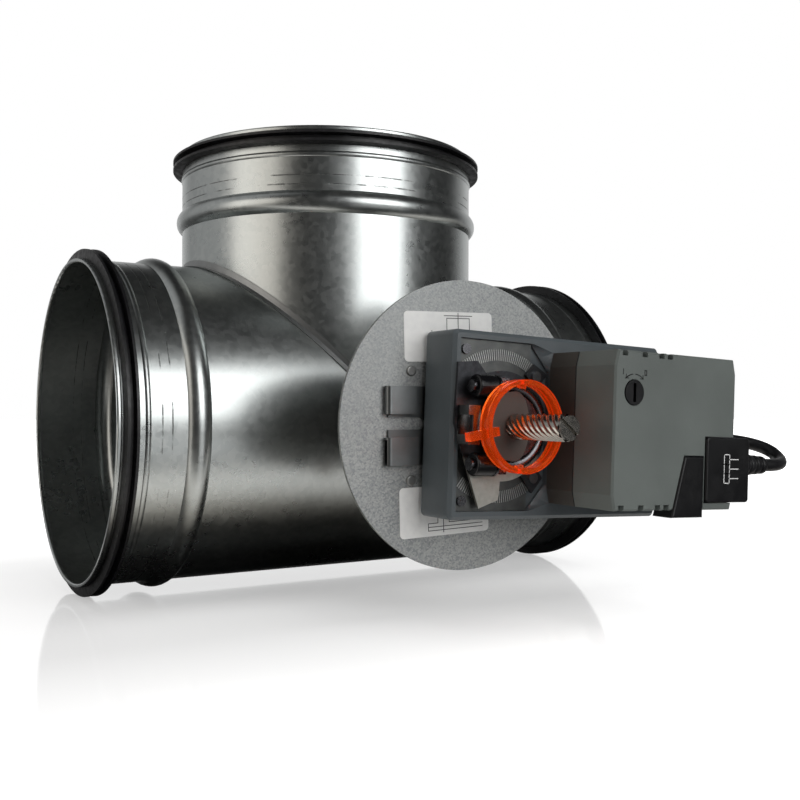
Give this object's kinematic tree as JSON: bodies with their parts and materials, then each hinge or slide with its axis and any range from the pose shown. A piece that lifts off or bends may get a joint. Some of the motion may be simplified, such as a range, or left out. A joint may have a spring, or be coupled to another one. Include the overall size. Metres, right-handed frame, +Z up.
{
  "type": "bypass damper",
  "caption": "Round sheet-duct tee with a turning blade in its middle, rubber sealing rings on its mouths and an electric actuator on a round stand-off plate.",
  "frame": {"origin": "on the axis of the straight duct, in the middle of the inlet's first sealing lip", "axes": "+X along the straight duct from the inlet to the outlet, +Y away from the actuator, +Z up along the branch"},
  "size_m": [0.2981, 0.296, 0.23],
  "materials": {
    "duct_steel": "galvanised, satin",
    "seal_rubber": "matte",
    "plate_steel": "galvanised, fine spangle",
    "rivet_steel": "satin",
    "bearing_plastic": "matte",
    "shaft_steel": "bright zinc",
    "spring_steel": "bright",
    "blade_steel": "galvanised, satin",
    "bolt_zinc": "zinc plated",
    "label_film": "white, bare",
    "housing_plastic": "matte",
    "cover_plastic": "matte",
    "screw_steel": "bright",
    "scale_aluminium": "satin",
    "stop_plastic": "matte",
    "hub_plastic": "matte",
    "nut_black": "black, smooth",
    "cap_plastic": "matte",
    "ring_clear": "clear orange",
    "axle_steel": "ground",
    "gear_plastic": "matte",
    "motor_can": "satin",
    "board_green": "satin",
    "switch_plastic": "matte",
    "black_plastic": "fine texture",
    "terminal_plastic": "matte",
    "cable_black": "matte",
    "core_insulation": "smooth",
    "tie_plastic": "smooth"
  },
  "bodies": {
    "damper": {"actuator_base": "housing_plastic", "actuator_cover": "cover_plastic", "anti_rotation_bracket": "plate_steel", "bracket_rivets": "rivet_steel", "branch_duct": "duct_steel", "branch_seal": "seal_rubber", "button_spring": "spring_steel", "circuit_board": "board_green", "coil_tie": "tie_plastic", "end_stop_screws": "screw_steel", "front_bearing": "bearing_plastic", "front_wall_bush": "bearing_plastic", "gear_axle": "axle_steel", "housing_screws": "screw_steel", "hub_bearing": "bearing_plastic", "inlet_seal": "seal_rubber", "lead_boot": "cable_black", "lead_cable": "cable_black", "lead_coil": "cable_black", "lead_cores": "core_insulation", "lead_tail": "cable_black", "lower_end_stop": "stop_plastic", "lower_label": "label_film", "motor": "motor_can", "motor_housing": "housing_plastic", "mounting_plate": "plate_steel", "outlet_seal": "seal_rubber", "plate_rivets": "rivet_steel", "rear_wall_bush": "bearing_plastic", "run_duct": "duct_steel", "saddle_band": "duct_steel", "scale_plate": "scale_aluminium", "scale_screws": "screw_steel", "stand_off": "plate_steel", "terminal_block": "terminal_plastic", "terminal_cover": "black_plastic", "upper_end_stop": "stop_plastic", "upper_label": "label_film"},
    "blade": {"shaft": "shaft_steel", "retaining_ring": "spring_steel", "blade_lower_plate": "blade_steel", "blade_seal": "seal_rubber", "blade_upper_plate": "blade_steel", "blade_bolts": "bolt_zinc", "output_hub": "hub_plastic", "clamp_plate": "bolt_zinc", "clamp_u_bolt": "bolt_zinc", "clamp_jaw": "bolt_zinc", "clamp_nuts": "nut_black", "clamp_washers": "bolt_zinc", "clamp_spring_clip": "spring_steel", "clamp_cap": "cap_plastic", "indicator_ring": "ring_clear"},
    "switch": {"direction_switch": "switch_plastic"},
    "button": {"release_button": "black_plastic"},
    "gear_pair": {"reduction_gear": "gear_plastic"},
    "motor_shaft": {"motor_pinion": "gear_plastic"}
  },
  "joints": [
    {"name": "damper_turn", "type": "hinge", "parent": "damper", "child": "blade", "pos_m": [0.137, 0, 0], "axis": [0, -1, 0], "range_deg": [-56, 34]},
    {"name": "reduction_turn", "type": "hinge", "parent": "damper", "child": "gear_pair", "pos_m": [0.16218, -0.148, -0.00101], "axis": [0, -1, 0], "range_deg": [-105, 170]},
    {"name": "motor_turn", "type": "hinge", "parent": "damper", "child": "motor_shaft", "pos_m": [0.17957, -0.152, -0.00171], "axis": [0, -1, 0], "range_deg": [-530, 322]},
    {"name": "switch_turn", "type": "hinge", "parent": "damper", "child": "switch", "pos_m": [0.1752, -0.2, 0.01428], "axis": [0, -1, 0], "range_deg": [0, 90]},
    {"name": "button_press", "type": "slide", "parent": "damper", "child": "button", "axis": [0, 1, 0], "range_m": [0, 0.003], "stiffness_N_per_m": 400, "springref_m": -0.003, "deforming": ["button_spring"]}
  ],
  "couplings": [
    {"joint": "reduction_turn", "follows": "damper_turn", "ratio": -3},
    {"joint": "motor_turn", "follows": "damper_turn", "ratio": 9.4286}
  ]
}
